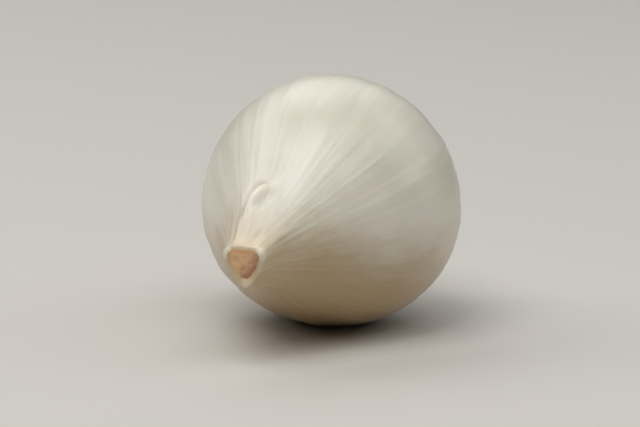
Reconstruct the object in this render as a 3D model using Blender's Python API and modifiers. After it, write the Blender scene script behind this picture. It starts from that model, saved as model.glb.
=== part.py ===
"""A white onion set: one small dry bulb with its pinched, cut neck and its root plate of trimmed roots.

It lies on its side on a small flat spot. Metres, +Z up. The origin is the middle of that spot, the neck
points to -X and the roots to +X.
"""

import math
import random

import bmesh
import bpy
import numpy as np

# Driving dimensions.
GIRTH = 0.026  # widest diameter of the bulb
LENGTH = 0.0330  # from the skin round the root plate to the lip of the cut neck
NECK_END = 0.0039  # width of the cut end of the neck
PLATE_WIDTH = 0.0078  # width of the root plate
CLEARANCE = 0.0003  # gap between the root plate and the bulb round it

# How it lies: the neck droops a little, and the girth rests on the ground.
DROOP = math.radians(5.0)
SEAT_SHARE = 0.364  # place along the length that is over the middle of the flat spot, at the girth
AXIS_HEIGHT = 0.01264  # height of the growth axis over that spot
NECK_LEAN = 0.0011  # how far the neck grew out of line, sideways

# Outside of the bulb from the lip of the neck to the skin round the root plate,
# as (share of LENGTH, share of half the GIRTH).
NECK_LIP = NECK_END / GIRTH
OUTLINE = [
    (1.000, NECK_LIP),
    (0.976, NECK_LIP * 1.09),
    (0.933, NECK_LIP * 1.34),
    (0.885, 0.268),
    (0.836, 0.340),
    (0.785, 0.428),
    (0.733, 0.527),
    (0.682, 0.634),
    (0.621, 0.751),
    (0.545, 0.876),
    (0.455, 0.966),
    (0.364, 1.000),
    (0.267, 0.973),
    (0.170, 0.862),
    (0.091, 0.700),
    (0.033, 0.508),
    (0.006, 0.377),
    (0.000, 0.346),
]
OUTLINE_STEPS = 3  # rings made for each stretch of the outline

# The cut end of the neck, from its middle to the lip, as (share of half its width, depth as a share of
# its width). The two low rings are the cut edges of the inner leaf sheaths.
CUT_END = [
    (0.00, 0.110),
    (0.16, 0.085),
    (0.28, 0.115),
    (0.42, 0.080),
    (0.54, 0.090),
    (0.66, 0.120),
    (0.82, 0.070),
]

# The hollow under the bulb that the root plate sits in.
HOLLOW_RADIUS = PLATE_WIDTH / 2 + CLEARANCE
HOLLOW_DEPTH = 0.0017
HOLLOW_ROUNDING = 0.0005

# Lobes of the round body, from the fleshy leaves under the skin.
LOBE_SHARE = 0.016  # how far they stand out, as a share of the radius
LOBES_IN_THREES = 0.6  # strength of the three lobes beside the two main ones
LOBES_RISE = (0.00, 0.22)  # shares of the length between which they rise from the root end
LOBES_FADE = (0.62, 0.82)  # and between which they fade at the shoulder

# The neck, pinched three-cornered as it dried.
NECK_PINCH = 0.16  # how far the corners stand out at the cut end, as a share of the radius
NECK_CORNER = math.radians(62.0)  # angle of one corner at the cut end
NECK_CORNER_SHARPNESS = 0.20  # 0 for soft corners with hollow sides between them
NECK_TWIST = 1.1  # turn of the corners over the length of the bulb, in radians
NECK_UNEVEN = 0.15  # strength of the five smaller creases
NECK_RISE = (0.82, 0.99)  # shares of the length between which the pinch grows
LEAN_START = 0.50  # share of the length from which the neck leans

# Relief of the outer skin. Each set of ribs is (ribs round the bulb, height, angle of the first).
SIDES = 84  # faces round the bulb
RIB_SETS = [(19, 0.00008, 0.0), (13, 0.00007, 1.3), (28, 0.00004, 2.1)]
RIB_TWIST = 0.35
RIB_ROUNDING = 1.5  # more than 1 makes ribs narrower than the furrows between them
RIB_RISE = (0.02, 0.14)  # shares of the length between which the ribs rise from the root end
RIB_CALM = (0.36, 0.17, 0.70)  # middle, half width and strength of the smooth band at the girth
RIB_NECK = (0.50, 0.80, 0.85)  # where the ribs start and stop fading towards the neck, and how much
SKIN_STEP = 0.00030  # thickness that shows where the outer skin laps over itself
SKIN_EDGE_ANGLE = 2.05
SKIN_EDGE_SLANT = 0.75
LAP_RISE = (0.05, 0.20)  # shares of the length between which the lap rises from the root end
LAP_FADE = (0.42, 0.56)  # and between which it fades towards the neck

# Root plate: (share of half the brim, share of the rise) from the brim to the middle of its outer face.
PLATE_SIDES = 36
PLATE_BRIM = 0.0094  # width of the plate outside the bulb, where it spreads over the skin's edge
PLATE_RISE = 0.0012  # how far the plate bulges out of the bulb
PLATE_FACE = [(1.00, 0.42), (0.92, 0.68), (0.74, 0.90), (0.50, 1.00), (0.25, 0.94), (0.00, 0.85)]
PLATE_LUMP = 0.00014
LUMPS_ROUND = 5
LUMP_TWIST = 900.0  # turn of the lumps from the middle outwards, in radians per metre
LUMP_RINGS = 1700.0  # rise and fall of the lumps from the middle outwards, in radians per metre

# Roots: short stubs, stout and splayed at the rim, worn down in the middle.
ROOT_COUNT = 52
ROOT_SIDES = 8
ROOT_RADIUS = 0.00050
ROOT_TAPER = 0.72
ROOT_SUNK = 0.0007  # length of each root inside the plate
ROOT_SHORTEST = 0.0004
ROOT_LONGEST = 0.0009
ROOT_RIM_EXTRA = 0.0009  # how much longer the roots are at the rim
ROOT_FIRST = 0.08  # how far from the middle the first root stands, as a share of half the brim
ROOT_REACH = 0.62  # how much further out the last one stands
ROOT_SPLAY = math.radians(70.0)
ROOT_SPLAY_GROWTH = 1.3
ROOT_JITTER = 0.12
ROOT_FOOT = (0.92, 0.16)  # depth of the feet in the middle, and how much less at the rim
ROOT_SEED = 11
GOLDEN_ANGLE = math.pi * (3.0 - math.sqrt(5.0))


def clear_scene():
    for obj in list(bpy.data.objects):
        bpy.data.objects.remove(obj, do_unlink=True)


def make_collection(name):
    collection = bpy.data.collections.new(name)
    bpy.context.scene.collection.children.link(collection)
    return collection


def make_material(name, colour, roughness):
    material = bpy.data.materials.new(name)
    material.use_nodes = True
    shader = material.node_tree.nodes["Principled BSDF"]
    shader.inputs["Base Color"].default_value = (*colour, 1.0)
    shader.inputs["Roughness"].default_value = roughness
    shader.inputs["Metallic"].default_value = 0.0
    material.diffuse_color = (*colour, 1.0)
    return material


def smooth_share(low, high, value):
    """0 below low, 1 above high, and a smooth rise between them."""
    share = np.clip((value - low) / (high - low), 0.0, 1.0)
    return share * share * (3.0 - 2.0 * share)


def smooth_line(points, steps):
    """Points on a Catmull-Rom curve through the given points."""
    line = []
    for i in range(len(points) - 1):
        before = np.array(points[max(i - 1, 0)])
        start = np.array(points[i])
        end = np.array(points[i + 1])
        after = np.array(points[min(i + 2, len(points) - 1)])
        for t in np.arange(steps) / steps:
            bend = (2.0 * before - 5.0 * start + 4.0 * end - after) * t**2
            twist = (3.0 * start - before - 3.0 * end + after) * t**3
            line.append(0.5 * (2.0 * start + (end - before) * t + bend + twist))
    line.append(np.array(points[-1]))
    return line


def bulb_profile():
    """(radius, height) from the middle of the cut neck, over the outside, to the middle of the hollow."""
    cut = [(share * NECK_END / 2, LENGTH - depth * NECK_END) for share, depth in CUT_END]
    outline = smooth_line(OUTLINE, OUTLINE_STEPS)
    outside = [(share * GIRTH / 2, along * LENGTH) for along, share in outline]
    hollow = [
        (HOLLOW_RADIUS, HOLLOW_ROUNDING * 0.6),
        (HOLLOW_RADIUS, HOLLOW_DEPTH - HOLLOW_ROUNDING),
        (HOLLOW_RADIUS - HOLLOW_ROUNDING, HOLLOW_DEPTH),
        (HOLLOW_RADIUS / 2, HOLLOW_DEPTH),
        (0.0, HOLLOW_DEPTH),
    ]
    return cut + outside + hollow


def turned_mesh(name, profile, sides):
    """The profile turned once round Z, as a closed mesh."""
    line = bpy.data.meshes.new(name)
    edges = [(i, i + 1) for i in range(len(profile) - 1)]
    line.from_pydata([(radius, 0.0, height) for radius, height in profile], edges, [])
    obj = bpy.data.objects.new(name, line)
    bpy.context.scene.collection.objects.link(obj)
    screw = obj.modifiers.new("turn", "SCREW")
    screw.steps = sides
    screw.render_steps = sides
    screw.use_merge_vertices = True
    screw.merge_threshold = 0.00001
    screw.use_smooth_shade = True
    graph = bpy.context.evaluated_depsgraph_get()
    mesh = bpy.data.meshes.new_from_object(obj.evaluated_get(graph))
    bpy.data.objects.remove(obj, do_unlink=True)
    mesh.name = name
    return mesh


def points_of(mesh):
    flat = np.empty(len(mesh.vertices) * 3)
    mesh.vertices.foreach_get("co", flat)
    return flat.reshape(-1, 3)


def set_points(mesh, points):
    mesh.vertices.foreach_set("co", points.ravel())
    mesh.update()


def skin_relief(angle, along):
    """How far the outer skin stands out at an angle and a share of the length: ribs, and one lapped edge."""
    turned = angle + RIB_TWIST * along
    ribs = sum(
        height * (0.5 + 0.5 * np.cos(count * turned + first)) ** RIB_ROUNDING
        for count, height, first in RIB_SETS
    )
    calm_middle, calm_width, calm = RIB_CALM
    neck_start, neck_end, neck_fade = RIB_NECK
    rib_part = smooth_share(*RIB_RISE, along)
    rib_part = rib_part * (1.0 - calm * np.exp(-(((along - calm_middle) / calm_width) ** 2)))
    rib_part = rib_part * (1.0 - neck_fade * smooth_share(neck_start, neck_end, along))
    turn = (angle - SKIN_EDGE_ANGLE - SKIN_EDGE_SLANT * along) / (2.0 * math.pi)
    lap = (1.0 - (turn - np.floor(turn))) ** 3
    lap_part = smooth_share(*LAP_RISE, along) * (1.0 - smooth_share(*LAP_FADE, along))
    return ribs * rib_part + SKIN_STEP * lap * lap_part


def grown_shape(points):
    """Moves a turned bulb's points to where they grew: lobed, ribbed, lapped, and pinched at the neck."""
    turned = np.hypot(points[:, 0], points[:, 1])
    angle = np.arctan2(points[:, 1], points[:, 0])
    along = points[:, 2] / LENGTH
    body = smooth_share(*LOBES_RISE, along) * (1.0 - smooth_share(*LOBES_FADE, along))
    lobes = LOBES_IN_THREES * np.cos(3.0 * angle) - np.cos(2.0 * angle)
    corner_turn = 3.0 * (angle - NECK_CORNER - NECK_TWIST * (1.0 - along))
    corners = np.cos(corner_turn) + NECK_CORNER_SHARPNESS * np.cos(2.0 * corner_turn)
    creases = np.cos(5.0 * angle + 4.0 * along)
    pinch = (corners + NECK_UNEVEN * creases) * smooth_share(*NECK_RISE, along)
    radius = turned * (1.0 + LOBE_SHARE * lobes * body + NECK_PINCH * pinch)
    near_roots = along < 0.5
    in_hollow = near_roots & (turned < (HOLLOW_RADIUS + OUTLINE[-1][1] * GIRTH / 2) / 2)
    in_cut = ~near_roots & (turned < NECK_END / 2 * (1.0 + CUT_END[-1][0]) / 2)
    radius = radius + np.where(in_hollow | in_cut, 0.0, skin_relief(angle, along))
    lean = NECK_LEAN * smooth_share(LEAN_START, 1.0, along) ** 1.5
    return np.column_stack((radius * np.cos(angle), radius * np.sin(angle) + lean, points[:, 2]))


def flatten_under(points):
    """Brings what would reach below the ground up to it, which is the flat spot the bulb lies on."""
    along = points[:, 2] - SEAT_SHARE * LENGTH
    height = AXIS_HEIGHT + math.cos(DROOP) * points[:, 0] - math.sin(DROOP) * along
    sunk = np.minimum(height, 0.0)
    moved = points.copy()
    moved[:, 0] -= math.cos(DROOP) * sunk
    moved[:, 2] += math.sin(DROOP) * sunk
    return moved


def finish_mesh(mesh, material, sharp_angle):
    mesh.materials.append(material)
    mesh.shade_smooth()
    mesh.set_sharp_from_angle(angle=math.radians(sharp_angle))


def lying_axis(collection):
    """The empty that the grown pieces hang on: its +Z is the growth axis, from the roots to the neck."""
    empty = bpy.data.objects.new("growth_axis", None)
    collection.objects.link(empty)
    turn = -(math.pi / 2 + DROOP)
    empty.rotation_euler = (0.0, turn, 0.0)
    to_seat = SEAT_SHARE * LENGTH
    empty.location = (-math.sin(turn) * to_seat, 0.0, AXIS_HEIGHT - math.cos(turn) * to_seat)
    return empty


def make_bulb(collection, axis, material):
    mesh = turned_mesh("bulb", bulb_profile(), SIDES)
    set_points(mesh, flatten_under(grown_shape(points_of(mesh))))
    finish_mesh(mesh, material, 50.0)
    bulb = bpy.data.objects.new("bulb", mesh)
    collection.objects.link(bulb)
    bulb.parent = axis
    return bulb


def plate_profile():
    """(radius, height) of the plate, from the middle of its inner face to the middle of its outer one."""
    half = PLATE_WIDTH / 2
    brim = PLATE_BRIM / 2
    inner = HOLLOW_DEPTH - CLEARANCE
    stem = [
        (0.0, inner),
        (half * 0.5, inner),
        (half - HOLLOW_ROUNDING, inner),
        (half, inner - HOLLOW_ROUNDING),
        (half, -CLEARANCE),
        (brim * 0.97, -CLEARANCE),
    ]
    return stem + [(brim * out, -PLATE_RISE * rise) for out, rise in PLATE_FACE]


def lumpy_plate(points):
    """The corky outer face of the plate, raised in low lumps."""
    angle = np.arctan2(points[:, 1], points[:, 0])
    radius = np.hypot(points[:, 0], points[:, 1])
    lump = np.sin(LUMPS_ROUND * angle + LUMP_TWIST * radius) * np.sin(LUMP_RINGS * radius + 1.0)
    moved = points.copy()
    outer = smooth_share(PLATE_RISE * 0.5, PLATE_RISE * 0.8, -points[:, 2])
    moved[:, 2] -= PLATE_LUMP * lump * outer
    return moved


def make_root(collection, number, place):
    """One trimmed root, a tapered stub that leans outwards the nearer it stands to the rim."""
    spread = math.sqrt((number + 0.5) / ROOT_COUNT)
    angle = number * GOLDEN_ANGLE + place.uniform(-ROOT_JITTER, ROOT_JITTER)
    foot_radius = (ROOT_FIRST + ROOT_REACH * spread) * PLATE_BRIM / 2
    splay = ROOT_SPLAY * spread**ROOT_SPLAY_GROWTH + place.uniform(-ROOT_JITTER, ROOT_JITTER)
    length = ROOT_SUNK + place.uniform(ROOT_SHORTEST, ROOT_LONGEST) + ROOT_RIM_EXTRA * spread**2
    middle_depth, rim_rise = ROOT_FOOT
    foot_height = -PLATE_RISE * (middle_depth - rim_rise * spread**3)
    mesh = bpy.data.meshes.new("root")
    shape = bmesh.new()
    bmesh.ops.create_cone(
        shape,
        cap_ends=True,
        segments=ROOT_SIDES,
        radius1=ROOT_RADIUS * ROOT_TAPER,
        radius2=ROOT_RADIUS,
        depth=length,
    )
    shape.to_mesh(mesh)
    shape.free()
    root = bpy.data.objects.new("root", mesh)
    collection.objects.link(root)
    middle = length / 2 - ROOT_SUNK
    root.rotation_euler = (0.0, -splay, angle)
    root.location = (
        (foot_radius + math.sin(splay) * middle) * math.cos(angle),
        (foot_radius + math.sin(splay) * middle) * math.sin(angle),
        foot_height - math.cos(splay) * middle,
    )
    return root


def make_root_plate(collection, axis, material):
    """The corky plate and the stubs of its roots, joined in one solid."""
    mesh = turned_mesh("root_plate", plate_profile(), PLATE_SIDES)
    set_points(mesh, lumpy_plate(points_of(mesh)))
    plate = bpy.data.objects.new("root_plate", mesh)
    collection.objects.link(plate)
    stubs = make_collection("root stubs")
    place = random.Random(ROOT_SEED)
    for number in range(ROOT_COUNT):
        make_root(stubs, number, place)
    join = plate.modifiers.new("join roots", "BOOLEAN")
    join.operation = "UNION"
    join.operand_type = "COLLECTION"
    join.collection = stubs
    join.solver = "MANIFOLD"
    graph = bpy.context.evaluated_depsgraph_get()
    joined = bpy.data.meshes.new_from_object(plate.evaluated_get(graph))
    plate.modifiers.clear()
    plate.data = joined
    for root in list(stubs.objects):
        bpy.data.objects.remove(root, do_unlink=True)
    bpy.data.collections.remove(stubs)
    finish_mesh(joined, material, 40.0)
    plate.parent = axis
    return plate


def main():
    clear_scene()
    skin = make_material("white papery skin", (0.74, 0.68, 0.53), 0.42)
    cork = make_material("dry root brown", (0.30, 0.17, 0.075), 0.85)
    onion = make_collection("onion set")
    axis = lying_axis(onion)
    make_bulb(onion, axis, skin)
    make_root_plate(onion, axis, cork)


main()
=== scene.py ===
"""The looks of a white onion set: a small dry bulb lying on its side, with its cut neck and trimmed roots."""

import math
import random

import bpy
import numpy as np
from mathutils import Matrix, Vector


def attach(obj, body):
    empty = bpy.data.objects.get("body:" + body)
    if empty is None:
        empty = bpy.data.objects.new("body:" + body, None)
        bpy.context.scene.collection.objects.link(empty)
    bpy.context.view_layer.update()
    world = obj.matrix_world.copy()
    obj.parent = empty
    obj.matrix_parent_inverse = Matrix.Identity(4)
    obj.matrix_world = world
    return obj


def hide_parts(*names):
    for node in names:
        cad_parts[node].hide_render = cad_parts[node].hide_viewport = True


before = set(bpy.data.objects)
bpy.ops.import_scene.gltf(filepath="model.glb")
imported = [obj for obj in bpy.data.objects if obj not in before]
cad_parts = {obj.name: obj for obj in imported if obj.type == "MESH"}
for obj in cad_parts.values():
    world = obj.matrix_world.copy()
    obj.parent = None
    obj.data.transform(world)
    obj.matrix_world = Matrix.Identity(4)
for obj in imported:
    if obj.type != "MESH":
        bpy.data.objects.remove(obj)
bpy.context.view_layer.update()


# The bulb: fleshy leaves under a white papery skin, grown as one body round a line from the roots to the
# neck, which was cut off and dried three-cornered, with a pale rim round its tan face. The rings of a globe
# are moved on to its outline, and then it is laid on its side. The hollow for the root plate belongs to it.
LENGTH = 0.0330  # from the skin round the root plate, at height 0, to the lip of the cut neck
GIRTH = 0.026  # widest diameter
NECK_END = 0.0039  # width of the cut end of the neck
DROOP = math.radians(5.0)  # how far the neck points below level
SEAT_SHARE = 0.364  # share of the length that is over the middle of the flat spot
AXIS_HEIGHT = 0.01264  # height of the growth axis over that spot
NECK_LEAN = 0.0011  # how far the neck grew out of line, sideways
LEAN_START = 0.50  # share of the length from which the neck leans
LEAN_BEND = 1.5  # 1 for a lean that grows evenly

# Outside of the bulb, as (share of LENGTH, share of half the GIRTH).
NECK_LIP = NECK_END / GIRTH
OUTLINE = [
    (1.000, NECK_LIP),
    (0.976, NECK_LIP * 1.09),
    (0.933, NECK_LIP * 1.34),
    (0.885, 0.268),
    (0.836, 0.340),
    (0.785, 0.428),
    (0.733, 0.527),
    (0.682, 0.634),
    (0.621, 0.751),
    (0.545, 0.876),
    (0.455, 0.966),
    (0.364, 1.000),
    (0.267, 0.973),
    (0.170, 0.862),
    (0.091, 0.700),
    (0.033, 0.508),
    (0.006, 0.377),
    (0.000, 0.346),
]
OUTLINE_DETAIL = 24  # points of the outline's table for each stretch
SKIN_STEPS = 9  # rings of the bulb's mesh for each stretch
CUT_STEPS = 4  # and of its cut end
AROUND = 320  # points in each ring

# Lobes of the fleshy leaves, and the neck pinched three-cornered as it dried. Pairs are the shares of the
# length between which something rises or fades, here and below.
LOBE_SHARE = 0.016
LOBES_IN_THREES = 0.6
LOBES_RISE = (0.00, 0.22)
LOBES_FADE = (0.62, 0.82)
NECK_PINCH = 0.16
NECK_CORNER = math.radians(62.0)
NECK_CORNER_SHARPNESS = 0.20
NECK_TWIST = 1.1
NECK_UNEVEN = 0.15
NECK_UNEVEN_FOLDS = 5.0
NECK_UNEVEN_TWIST = 4.0
NECK_RISE = (0.82, 0.99)

# Ribs over the veins, as (ribs round the bulb, height, angle of the first), and the lapped edge of the skin.
RIB_SETS = [(19, 0.00008, 0.0), (13, 0.00007, 1.3), (28, 0.00004, 2.1)]
RIB_TWIST = 0.35
RIB_ROUNDING = 1.5
RIB_RISE = (0.02, 0.14)
RIB_CALM = (0.36, 0.17, 0.70)  # middle, half width and strength of the smooth band at the girth
RIB_NECK = (0.50, 0.80)
RIB_NECK_FADE = 0.85
SKIN_STEP = 0.00030
SKIN_EDGE_ANGLE = 2.05
SKIN_EDGE_SLANT = 0.75
LAP_RISE = (0.05, 0.20)
LAP_FADE = (0.42, 0.56)

# Veins, and pleats at both ends, as (waves round the bulb, height, angle of the first).
VEIN_SETS = [(47, 0.000010, 0.4), (71, 0.000008, 1.9), (103, 0.000006, 3.3)]
VEIN_DRIFT = 2.2  # how far they wander, in radians of a wave
VEIN_NECK = (0.60, 0.85)
VEIN_NECK_FADE = 0.45
PLEAT_SETS = [(11, 0.000024, 0.8), (17, 0.000018, 2.6), (29, 0.000013, 0.1)]
PLEAT_DRIFT = 3.0
PLEAT_RISE = (0.70, 0.88)
PLEAT_TIP = (0.90, 0.98)
PLEAT_TIP_FADE = 0.8
PLEAT_ROOTS = (0.02, 0.12)
PLEAT_ROOTS_SHARE = 0.8

# Uneven places of the skin, as (length of a lump, height, seed).
DRIFT_LUMPS = [(0.0060, 1.0, 3)]
DIMPLES = [(0.0060, 0.00007, 9)]
WRINKLES = [(0.0011, 0.00003, 5)]

# One small fold near the neck, where the skin buckled as it dried, with a crease beyond it and a furrow at
# its right. Crease and furrow are tan, partly a stain and partly painted shade, and the fold's ridge is
# painted whiter as a painted highlight. Angles and widths are in radians round the bulb, places and lengths
# are shares of LENGTH, and heights and depths are in metres. The feet of the fold are (place across, breadth,
# depth) as shares of its ridge.
FOLD_ANGLE = math.radians(19.0)
FOLD_ALONG = 0.815
FOLD_SLANT = -3.5
FOLD_LENGTH = 0.036
FOLD_WIDTH = 0.120
FOLD_HEIGHT = 0.00070
FOLD_FEET = [(-2.1, 1.3, 0.38), (2.1, 1.5, 0.12)]
CREASE_ABOVE = 0.052
CREASE_ARCH = 0.35
CREASE_WIDTH = 0.25
CREASE_BREADTH = 0.0125
CREASE_DEPTH = 0.00013
FURROW_ASIDE = 0.19
FURROW_WIDTH = 0.065
FURROW_SHARE = 0.60

# The cut end of the neck, from its middle to the lip, as (share of half its width, depth as a share of its
# width), and the place that the material reads there, at the lip and how much more in the middle.
CUT_END = [
    (0.00, 0.060),
    (0.16, 0.048),
    (0.28, 0.064),
    (0.42, 0.046),
    (0.54, 0.056),
    (0.66, 0.058),
    (0.74, 0.040),
    (0.80, 0.006),
    (0.90, -0.006),
    (0.97, 0.004),
]
CUT_PLACE = 1.02
CUT_PLACE_RISE = 0.10
CUT_SHIFT = 0.00014  # how far the face lies above the middle of the neck
CUT_FIBRES = [(0.00040, 0.00007, 7), (0.0011, 0.00008, 2)]

# The rim of the cut. It stands up most at three corners, as (turn from NECK_CORNER, height, width), and is
# pale and thick where it stands up by RIM_PALE_RISE, and thin and tan where it is lower.
RIM_WALL = (0.72, 0.86)  # shares of half the width between which the wall inside the rim rises
RIM_FADE = (0.972, 1.0)  # places between which the rim rises out of the skin
RIM_CORNER = 2.0 * math.pi / 3.0
RIM_POINTS = [(-RIM_CORNER, 0.00040, 0.30), (0.0, 0.00028, 0.32), (RIM_CORNER, 0.00012, 0.40)]
RIM_UNEVEN = [(0.40, 0.00005, 54), (0.13, 0.00004, 55)]
RIM_RAGGED = [(0.00050, 0.00005, 21)]
RIM_PALE_RISE = 0.00030
RIM_PALE = 0.40
RIM_STAIN = 0.80
RIM_THICK = 0.80
RIM_PATCHES = [(0.00090, 0.35, 23)]

# The hollow that the root plate sits in, with the place that the material reads at each of its rings.
PLATE_WIDTH = 0.0078
CLEARANCE = 0.0003
HOLLOW_RADIUS = PLATE_WIDTH / 2 + CLEARANCE
HOLLOW_DEPTH = 0.0017
HOLLOW_ROUNDING = 0.0005
HOLLOW_LIP = 0.6
HOLLOW_PLACES = (-0.02, -0.04, -0.05, -0.06, -0.07)
RELIEF_RISE = (-0.002, 0.03)  # places between which the skin's relief rises from the hollow


def smooth_line(points, steps):
    """Points on a Catmull-Rom curve through the given points."""
    line = []
    for i in range(len(points) - 1):
        before = np.array(points[max(i - 1, 0)])
        start = np.array(points[i])
        end = np.array(points[i + 1])
        after = np.array(points[min(i + 2, len(points) - 1)])
        for t in np.arange(steps) / steps:
            bend = (2.0 * before - 5.0 * start + 4.0 * end - after) * t**2
            twist = (3.0 * start - before - 3.0 * end + after) * t**3
            line.append(0.5 * (2.0 * start + (end - before) * t + bend + twist))
    line.append(np.array(points[-1]))
    return np.array(line)


def outline_table():
    """Place, radius, height and outward normal along the outline, from the root rim (place 0) to the neck's
    lip (place 1)."""
    line = smooth_line(OUTLINE, OUTLINE_DETAIL)[::-1]
    radius = line[:, 1] * GIRTH / 2
    height = line[:, 0] * LENGTH
    step_out = np.gradient(radius)
    step_up = np.gradient(height)
    step = np.hypot(step_out, step_up)
    place = np.concatenate(([0.0], np.cumsum(np.hypot(np.diff(radius), np.diff(height)))))
    return place / place[-1], radius, height, step_up / step, -step_out / step


PLACES, RADII, HEIGHTS, NORMALS_OUT, NORMALS_UP = outline_table()
SKIN_LENGTH = np.hypot(np.diff(RADII), np.diff(HEIGHTS)).sum()


def smooth_share(low, high, value):
    """0 below low, 1 above high, and a smooth rise between them."""
    share = np.clip((value - low) / (high - low), 0.0, 1.0)
    return share * share * (3.0 - 2.0 * share)


def hump(value, middle, width):
    """1 at the middle and falling away on both sides."""
    return np.exp(-(((value - middle) / width) ** 2))


def turn_from(angle, middle):
    """The angle measured from the middle, between half a turn back and half a turn on."""
    return np.angle(np.exp(1j * (angle - middle)))


def round_line(radius, angle, height):
    """Points at a radius, an angle and a height from the growth axis. Each may be one number for all."""
    return np.column_stack(np.broadcast_arrays(radius * np.cos(angle), radius * np.sin(angle), height))


def lay_down(points):
    """From the growth axis to the ground: flattens what would sink in, then turns the axis level."""
    out = points[:, 2] - SEAT_SHARE * LENGTH
    height = AXIS_HEIGHT + math.cos(DROOP) * points[:, 0] - math.sin(DROOP) * out
    sunk = np.minimum(height, 0.0)
    up = points[:, 0] - math.cos(DROOP) * sunk
    out = out + math.sin(DROOP) * sunk
    return np.column_stack(
        (
            -math.sin(DROOP) * up - math.cos(DROOP) * out,
            points[:, 1],
            AXIS_HEIGHT + math.cos(DROOP) * up - math.sin(DROOP) * out,
        )
    )


def points_of(mesh):
    flat = np.empty(len(mesh.vertices) * 3)
    mesh.vertices.foreach_get("co", flat)
    return flat.reshape(-1, 3)


def set_points(mesh, points):
    mesh.vertices.foreach_set("co", points.ravel())
    mesh.update()


def mark_points(mesh, name, values):
    """Stores a number or a vector at each point, for the material to read."""
    values = np.asarray(values, dtype=float)
    kind = "FLOAT" if values.ndim == 1 else "FLOAT_VECTOR"
    key = "value" if values.ndim == 1 else "vector"
    mesh.attributes.new(name, kind, "POINT").data.foreach_set(key, values.ravel())


# Large numbers that scatter the cells of the noise, and masks that keep the low bits of the result.
CELL_SCATTER = (73856093, 19349663, 83492791)
SEED_SCATTER = 374761393
FIRST_SCATTER = 1274126177
SECOND_SCATTER = 668265263
LOW_BITS = 0xFFFFFFFF
KEPT_BITS = 0xFFFF
RIPPLE_ROW = 0.37  # where the line of a ripple crosses the noise, as a share of its waves


def grain(points, lump, seed):
    """Smooth noise from -1 to 1 at each point, with lumps about the given length."""
    spot = points / lump
    cell = np.floor(spot)
    part = spot - cell
    fade = part * part * (3.0 - 2.0 * part)
    total = np.zeros(len(points))
    for corner in np.ndindex(2, 2, 2):
        key = ((cell + corner).astype(np.int64) * CELL_SCATTER).sum(axis=1) + seed * SEED_SCATTER
        key = (key & LOW_BITS) * FIRST_SCATTER
        key = ((key ^ (key >> 15)) & LOW_BITS) * SECOND_SCATTER
        key = (key ^ (key >> 17)) & KEPT_BITS
        weight = np.prod(np.where(corner, fade, 1.0 - fade), axis=1)
        total += weight * (key / (KEPT_BITS / 2) - 1.0)
    return total


def lumps(points, sets):
    """Noise of several sizes, from sets of (length of a lump, height, seed)."""
    return sum(height * grain(points, length, seed) for length, height, seed in sets)


def ripples(share, sets):
    """Noise along a line, from sets of (length of a wave, height, seed)."""
    total = np.zeros(len(share))
    for length, height, seed in sets:
        line = np.column_stack(np.broadcast_arrays(share, RIPPLE_ROW * length, 0.0))
        total += height * grain(line, length, seed)
    return total


def waves(angle, sets, drift):
    """Waves round the bulb, from sets of (waves round the bulb, height, angle of the first)."""
    return sum(height * np.cos(count * angle + first + drift) for count, height, first in sets)


def skin_relief(angle, along):
    """Ribs and the lapped edge, as the solid part has them."""
    turned = angle + RIB_TWIST * along
    ribs = np.zeros(len(angle))
    for count, height, first in RIB_SETS:
        ribs += height * (0.5 + 0.5 * np.cos(count * turned + first)) ** RIB_ROUNDING
    calm_middle, calm_width, calm = RIB_CALM
    rib_part = smooth_share(*RIB_RISE, along) * (1.0 - calm * hump(along, calm_middle, calm_width))
    rib_part = rib_part * (1.0 - RIB_NECK_FADE * smooth_share(*RIB_NECK, along))
    turn = (angle - SKIN_EDGE_ANGLE - SKIN_EDGE_SLANT * along) / (2.0 * math.pi)
    lap = (1.0 - (turn - np.floor(turn))) ** 3
    lap_part = smooth_share(*LAP_RISE, along) * (1.0 - smooth_share(*LAP_FADE, along))
    return ribs * rib_part + SKIN_STEP * lap * lap_part


def fold_ridge(angle, along):
    """1 on top of the fold and falling away on all sides, with a dip along its left and right foot."""
    across = turn_from(angle, FOLD_ANGLE) + FOLD_SLANT * (along - FOLD_ALONG)
    ridge = hump(across, 0.0, FOLD_WIDTH)
    for aside, breadth, depth in FOLD_FEET:
        ridge = ridge - depth * hump(across, FOLD_WIDTH * aside, FOLD_WIDTH * breadth)
    return ridge * hump(along, FOLD_ALONG, FOLD_LENGTH)


def creases(angle, along):
    """1 in the arched crease beyond the fold, and weaker down its right side, where the skin is tan, partly
    from a stain and partly as painted shade.
    """
    across = turn_from(angle, FOLD_ANGLE)
    arch = hump(along, FOLD_ALONG - CREASE_ABOVE + CREASE_ARCH * across**2, CREASE_BREADTH)
    beside = hump(across, -FOLD_SLANT * (along - FOLD_ALONG) - FURROW_ASIDE, FURROW_WIDTH)
    furrow = beside * hump(along, FOLD_ALONG, CREASE_ABOVE)
    return np.clip(arch * hump(across, 0.0, CREASE_WIDTH) + FURROW_SHARE * furrow, 0.0, 1.0)


def fine_relief(angle, along, spots):
    """Veins, dimples, pleats and the dried fold, too fine for the solid part."""
    drift = lumps(spots, DRIFT_LUMPS)
    veins = waves(angle, VEIN_SETS, VEIN_DRIFT * drift)
    veins = veins * (1.0 - VEIN_NECK_FADE * smooth_share(*VEIN_NECK, along))
    pleats = waves(angle, PLEAT_SETS, PLEAT_DRIFT * drift) + lumps(spots, WRINKLES)
    at_neck = smooth_share(*PLEAT_RISE, along) * (1.0 - PLEAT_TIP_FADE * smooth_share(*PLEAT_TIP, along))
    at_roots = PLEAT_ROOTS_SHARE * (1.0 - smooth_share(*PLEAT_ROOTS, along))
    fold = FOLD_HEIGHT * fold_ridge(angle, along) - CREASE_DEPTH * creases(angle, along)
    return veins + lumps(spots, DIMPLES) + pleats * np.maximum(at_neck, at_roots) + fold


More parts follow.
